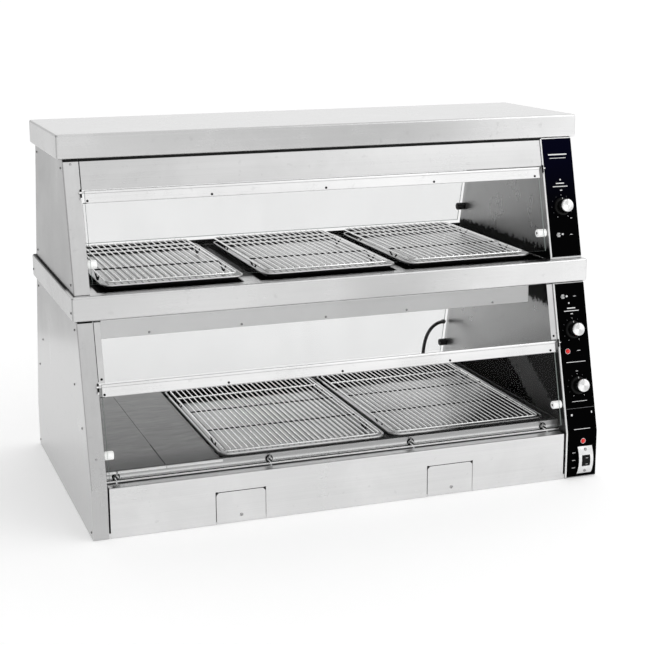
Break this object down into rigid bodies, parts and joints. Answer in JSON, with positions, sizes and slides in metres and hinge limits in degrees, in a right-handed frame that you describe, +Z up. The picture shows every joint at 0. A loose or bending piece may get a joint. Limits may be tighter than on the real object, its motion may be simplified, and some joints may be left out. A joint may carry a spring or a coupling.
{
  "type": "food holding cabinet",
  "caption": "Two-tier heated food display cabinet, open to both long sides, with leaning hinged glass doors, drop-in pans with racks, radiant heat above and a water pan under the deck.",
  "frame": {"origin": "centre of the footprint, on the plane that the cabinet stands on", "axes": "+X along the cabinet towards the end with the controls, -Y towards the front with the controls, +Z up"},
  "size_m": [1.264, 0.7506, 0.865],
  "materials": {
    "body_steel": "brushed stainless sheet, bright, fine lengthwise grain",
    "housing_steel": "brushed stainless sheet",
    "liner_steel": "stainless sheet, darker, seen in shade",
    "deck_plate": "flat stainless plate, lightly worn",
    "dark_deck": "dark semi-gloss coated plate",
    "door_rail_steel": "brushed stainless strip with a rolled edge",
    "glass": "clear tempered glass with a faintly green edge",
    "pan_aluminium": "plain sheet aluminium, lightly scratched",
    "rack_chrome": "chrome-plated wire",
    "bumper_plastic": "white moulded plastic",
    "knob_metal": "satin metal face with a dark skirt",
    "toggle_chrome": "polished lever",
    "lamp_lens": "red translucent lens",
    "control_panel": "black printed overlay, satin gloss",
    "escutcheon_chrome": "bright formed plate",
    "rocker_plastic": "black moulded plastic",
    "heater_sheath": "dull oxidised heater sheath"
  },
  "bodies": {
    "cabinet": {"base_pan": "body_steel", "deck_frame": "body_steel", "deck_left_plate": "deck_plate", "deck_right_plate": "deck_plate", "front_apron": "body_steel", "low_water_lamp": "lamp_lens", "lower_control_panel": "control_panel", "lower_front_fixed_glass": "glass", "lower_heater": "heater_sheath", "lower_left_bumper": "bumper_plastic", "lower_left_liner": "liner_steel", "lower_left_skin": "body_steel", "lower_radiant_housing": "housing_steel", "lower_rear_fixed_glass": "glass", "lower_right_bumper": "bumper_plastic", "lower_right_liner": "liner_steel", "lower_right_skin": "body_steel", "middle_cap": "body_steel", "power_lamp": "lamp_lens", "rear_apron": "body_steel", "rocker_escutcheon": "escutcheon_chrome", "top_cap": "body_steel", "upper_control_panel": "control_panel", "upper_deck": "dark_deck", "upper_header": "body_steel", "upper_heater": "heater_sheath", "upper_left_bumper": "bumper_plastic", "upper_left_liner": "liner_steel", "upper_left_skin": "body_steel", "upper_right_bumper": "bumper_plastic", "upper_right_liner": "liner_steel", "upper_right_skin": "body_steel", "water_heater": "heater_sheath", "water_pan": "liner_steel"},
    "lower_front_door": {"lower_front_door_rail": "door_rail_steel", "lower_front_door_glass": "glass"},
    "lower_rear_door": {"lower_rear_door_rail": "door_rail_steel", "lower_rear_door_glass": "glass"},
    "upper_front_door": {"upper_front_door_rail": "door_rail_steel", "upper_front_door_glass": "glass"},
    "upper_rear_door": {"upper_rear_door_rail": "door_rail_steel", "upper_rear_door_glass": "glass"},
    "left_access_flap": {"left_access_flap": "body_steel"},
    "right_access_flap": {"right_access_flap": "body_steel"},
    "upper_heat_knob": {"upper_heat_knob": "knob_metal"},
    "lower_heat_knob": {"lower_heat_knob": "knob_metal"},
    "water_heat_knob": {"water_heat_knob": "knob_metal"},
    "upper_toggle": {"upper_toggle": "toggle_chrome"},
    "lower_toggle": {"lower_toggle": "toggle_chrome"},
    "selector_rocker": {"selector_rocker": "rocker_plastic"},
    "upper_pan_1": {"upper_pan_1": "pan_aluminium"},
    "upper_rack_1": {"upper_rack_1": "rack_chrome"},
    "upper_pan_2": {"upper_pan_2": "pan_aluminium"},
    "upper_rack_2": {"upper_rack_2": "rack_chrome"},
    "upper_pan_3": {"upper_pan_3": "pan_aluminium"},
    "upper_rack_3": {"upper_rack_3": "rack_chrome"},
    "lower_pan_1": {"lower_pan_1": "pan_aluminium"},
    "lower_rack_1": {"lower_rack_1": "rack_chrome"},
    "lower_pan_2": {"lower_pan_2": "pan_aluminium"},
    "lower_rack_2": {"lower_rack_2": "rack_chrome"}
  },
  "joints": [
    {"name": "lower_front_door_hinge", "type": "hinge", "parent": "cabinet", "child": "lower_front_door", "pos_m": [0, -0.30759, 0.3307], "axis": [-1, 0, 0], "range_deg": [0, 75]},
    {"name": "lower_rear_door_hinge", "type": "hinge", "parent": "cabinet", "child": "lower_rear_door", "pos_m": [0, 0.30759, 0.3307], "axis": [1, 0, 0], "range_deg": [0, 75]},
    {"name": "upper_front_door_hinge", "type": "hinge", "parent": "cabinet", "child": "upper_front_door", "pos_m": [0, -0.20213, 0.73969], "axis": [-1, 0, 0], "range_deg": [0, 75]},
    {"name": "upper_rear_door_hinge", "type": "hinge", "parent": "cabinet", "child": "upper_rear_door", "pos_m": [0, 0.20213, 0.73969], "axis": [1, 0, 0], "range_deg": [0, 75]},
    {"name": "left_access_flap_hinge", "type": "hinge", "parent": "cabinet", "child": "left_access_flap", "pos_m": [-0.284, -0.3665, 0.0745], "axis": [-1, 0, 0], "range_deg": [0, 90]},
    {"name": "right_access_flap_hinge", "type": "hinge", "parent": "cabinet", "child": "right_access_flap", "pos_m": [0.229, -0.3665, 0.0745], "axis": [-1, 0, 0], "range_deg": [0, 90]},
    {"name": "upper_heat_knob_turn", "type": "hinge", "parent": "cabinet", "child": "upper_heat_knob", "pos_m": [0.5785, -0.23239, 0.64716], "axis": [0, 0.9673, -0.2537], "range_deg": [0, 300]},
    {"name": "lower_heat_knob_turn", "type": "hinge", "parent": "cabinet", "child": "lower_heat_knob", "pos_m": [0.5785, -0.30689, 0.35665], "axis": [0, 0.9683, -0.2496], "range_deg": [0, 300]},
    {"name": "water_heat_knob_turn", "type": "hinge", "parent": "cabinet", "child": "water_heat_knob", "pos_m": [0.5785, -0.34079, 0.22515], "axis": [0, 0.9683, -0.2496], "range_deg": [0, 300]},
    {"name": "upper_toggle_tilt", "type": "hinge", "parent": "cabinet", "child": "upper_toggle", "pos_m": [0.562, -0.25279, 0.58197], "axis": [1, 0, 0], "range_deg": [-15, 15]},
    {"name": "lower_toggle_tilt", "type": "hinge", "parent": "cabinet", "child": "lower_toggle", "pos_m": [0.558, -0.28962, 0.43645], "axis": [1, 0, 0], "range_deg": [-15, 15]},
    {"name": "selector_rocker_tilt", "type": "hinge", "parent": "cabinet", "child": "selector_rocker", "pos_m": [0.5855, -0.3731, 0.045], "axis": [1, 0, 0], "range_deg": [-12, 12]},
    {"name": "upper_pan_1_lift", "type": "slide", "parent": "cabinet", "child": "upper_pan_1", "axis": [0, 0, 1], "range_m": [0, 0.03]},
    {"name": "upper_rack_1_lift", "type": "slide", "parent": "upper_pan_1", "child": "upper_rack_1", "axis": [0, 0, 1], "range_m": [0, 0.02]},
    {"name": "upper_pan_2_lift", "type": "slide", "parent": "cabinet", "child": "upper_pan_2", "axis": [0, 0, 1], "range_m": [0, 0.03]},
    {"name": "upper_rack_2_lift", "type": "slide", "parent": "upper_pan_2", "child": "upper_rack_2", "axis": [0, 0, 1], "range_m": [0, 0.02]},
    {"name": "upper_pan_3_lift", "type": "slide", "parent": "cabinet", "child": "upper_pan_3", "axis": [0, 0, 1], "range_m": [0, 0.03]},
    {"name": "upper_rack_3_lift", "type": "slide", "parent": "upper_pan_3", "child": "upper_rack_3", "axis": [0, 0, 1], "range_m": [0, 0.02]},
    {"name": "lower_pan_1_lift", "type": "slide", "parent": "cabinet", "child": "lower_pan_1", "axis": [0, 0, 1], "range_m": [0, 0.08]},
    {"name": "lower_rack_1_lift", "type": "slide", "parent": "lower_pan_1", "child": "lower_rack_1", "axis": [0, 0, 1], "range_m": [0, 0.05]},
    {"name": "lower_pan_2_lift", "type": "slide", "parent": "cabinet", "child": "lower_pan_2", "axis": [0, 0, 1], "range_m": [0, 0.08]},
    {"name": "lower_rack_2_lift", "type": "slide", "parent": "lower_pan_2", "child": "lower_rack_2", "axis": [0, 0, 1], "range_m": [0, 0.05]}
  ]
}
